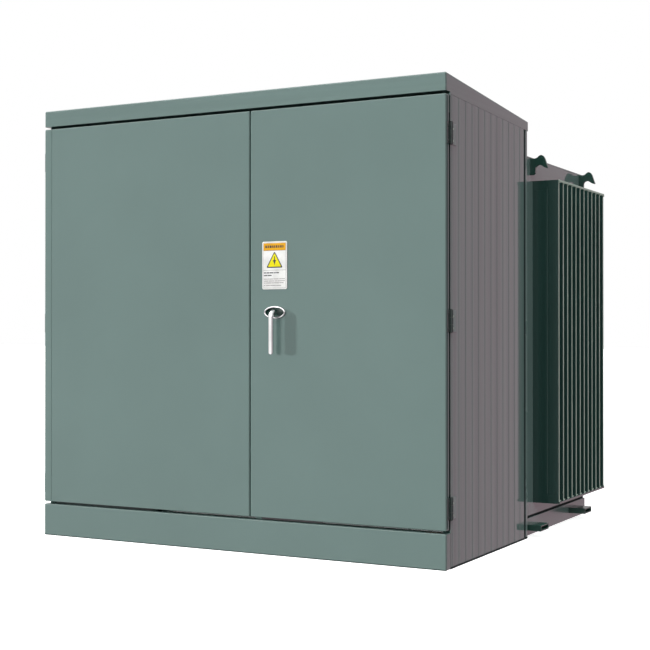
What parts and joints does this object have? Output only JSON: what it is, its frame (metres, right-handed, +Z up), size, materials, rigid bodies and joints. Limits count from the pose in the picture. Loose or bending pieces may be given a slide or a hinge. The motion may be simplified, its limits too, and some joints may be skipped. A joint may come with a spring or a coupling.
{
  "type": "pad-mounted transformer",
  "caption": "Ground-standing three-phase transformer: steel cabinet with hinged doors and a latch handle in front of an oil tank with cooling fins, hooks and lugs.",
  "frame": {"origin": "on the ground, under the middle of the whole object", "axes": "+Z up, -Y out through the doors, +X to the right as seen from the front"},
  "size_m": [1.868, 1.6346, 1.65],
  "materials": {
    "green_paint": "gloss dark green enamel",
    "door_paint": "gloss green enamel",
    "stainless": "brushed",
    "zinc_plate": "zinc plated",
    "polished_steel": "polished",
    "gasket_rubber": "matt",
    "bushing_resin": "cast epoxy",
    "black_plastic": "moulded",
    "red_plastic": "moulded",
    "copper": "tin plated copper",
    "brass": "satin",
    "needle_black": "matt",
    "gauge_glass": "clear",
    "label_white": "printed vinyl",
    "core_steel": "lacquered laminations",
    "winding_copper": "enamelled copper"
  },
  "bodies": {
    "tank_and_cabinet": {"tank_shell": "green_paint", "tank_cover": "green_paint", "handhole_gasket": "gasket_rubber", "handhole_cover": "green_paint", "handhole_bolts": "zinc_plate", "base_skirt": "green_paint", "base_flanges": "green_paint", "base_rails": "green_paint", "jacking_lugs": "green_paint", "lifting_hooks": "green_paint", "right_cooling_fins": "green_paint", "left_cooling_fins": "green_paint", "fin_tie_bars": "green_paint", "right_side_panel": "green_paint", "left_side_panel": "green_paint", "roof_hood": "green_paint", "back_panel": "green_paint", "front_sill": "green_paint", "compartment_barrier": "green_paint", "hinge_body_leaves": "green_paint", "hinge_pins": "stainless", "hv_bushings": "bushing_resin", "parking_stands": "stainless", "fuse_housings": "bushing_resin", "operator_housings": "zinc_plate", "lv_bushings": "bushing_resin", "lv_terminals": "copper", "gauge_cases": "stainless", "gauge_glasses": "gauge_glass", "relief_valve": "brass", "drain_valve": "brass", "rating_plate": "stainless", "ground_pads": "stainless", "core": "core_steel", "core_clamps": "green_paint", "lv_windings": "winding_copper", "hv_windings": "winding_copper"},
    "right_door": {"right_door_panel": "door_paint", "right_door_stiffeners": "green_paint", "right_door_hinge_leaves": "green_paint", "label_plate": "label_white", "handle_escutcheon": "polished_steel", "latch_rod_guides": "zinc_plate"},
    "left_door": {"left_door_panel": "door_paint", "left_door_stile": "door_paint", "left_door_stiffeners": "green_paint", "left_door_hinge_leaves": "green_paint"},
    "handle": {"door_handle": "polished_steel", "latch_cam": "zinc_plate"},
    "upper_rod": {"upper_latch_rod": "zinc_plate"},
    "lower_rod": {"lower_latch_rod": "zinc_plate"},
    "left_fuse": {"left_fuse_holder": "black_plastic"},
    "middle_fuse": {"middle_fuse_holder": "black_plastic"},
    "right_fuse": {"right_fuse_holder": "black_plastic"},
    "switch": {"switch_handle": "red_plastic"},
    "tap_changer": {"tap_changer_knob": "black_plastic"},
    "level_pointer": {"level_needle": "needle_black"},
    "temperature_pointer": {"temperature_needle": "needle_black"},
    "relief_pull": {"relief_ring": "polished_steel"},
    "drain_wheel": {"drain_handwheel": "red_plastic"}
  },
  "joints": [
    {"name": "right_door_hinge", "type": "hinge", "parent": "tank_and_cabinet", "child": "right_door", "pos_m": [0.853, -0.74975, 0.825], "axis": [0, 0, 1], "range_deg": [0, 120]},
    {"name": "left_door_hinge", "type": "hinge", "parent": "tank_and_cabinet", "child": "left_door", "pos_m": [-0.853, -0.74975, 0.825], "axis": [0, 0, -1], "range_deg": [0, 120]},
    {"name": "handle_turn", "type": "hinge", "parent": "right_door", "child": "handle", "pos_m": [0.193, -0.78075, 0.858], "axis": [0, -1, 0], "range_deg": [0, 90]},
    {"name": "upper_rod_slide", "type": "slide", "parent": "right_door", "child": "upper_rod", "axis": [0, 0, -1], "range_m": [0, 0.0425]},
    {"name": "lower_rod_slide", "type": "slide", "parent": "right_door", "child": "lower_rod", "axis": [0, 0, 1], "range_m": [0, 0.0425]},
    {"name": "left_fuse_pull", "type": "slide", "parent": "tank_and_cabinet", "child": "left_fuse", "axis": [0, -1, 0], "range_m": [0, 0.2]},
    {"name": "middle_fuse_pull", "type": "slide", "parent": "tank_and_cabinet", "child": "middle_fuse", "axis": [0, -1, 0], "range_m": [0, 0.2]},
    {"name": "right_fuse_pull", "type": "slide", "parent": "tank_and_cabinet", "child": "right_fuse", "axis": [0, -1, 0], "range_m": [0, 0.2]},
    {"name": "switch_turn", "type": "hinge", "parent": "tank_and_cabinet", "child": "switch", "pos_m": [-0.19, 0.01325, 0.64], "axis": [0, -1, 0], "range_deg": [0, 90]},
    {"name": "tap_changer_turn", "type": "hinge", "parent": "tank_and_cabinet", "child": "tap_changer", "pos_m": [0.21, 0.01325, 1.33], "axis": [0, -1, 0], "range_deg": [0, 144]},
    {"name": "level_pointer_turn", "type": "hinge", "parent": "tank_and_cabinet", "child": "level_pointer", "pos_m": [0.4, 0.01325, 1.33], "axis": [0, 1, 0], "range_deg": [-60, 60]},
    {"name": "temperature_pointer_turn", "type": "hinge", "parent": "tank_and_cabinet", "child": "temperature_pointer", "pos_m": [0.56, 0.01325, 1.33], "axis": [0, 1, 0], "range_deg": [-20, 220]},
    {"name": "relief_ring_pull", "type": "slide", "parent": "tank_and_cabinet", "child": "relief_pull", "axis": [0, -1, 0], "range_m": [0, 0.008], "stiffness_N_per_m": 1500},
    {"name": "drain_wheel_turn", "type": "hinge", "parent": "tank_and_cabinet", "child": "drain_wheel", "pos_m": [0.48, -0.03675, 0.19], "axis": [0, 0, 1], "range_deg": [0, 720]}
  ],
  "couplings": [
    {"joint": "upper_rod_slide", "follows": "handle_turn", "m_per_rad": 0.027009},
    {"joint": "lower_rod_slide", "follows": "handle_turn", "m_per_rad": 0.027009}
  ]
}
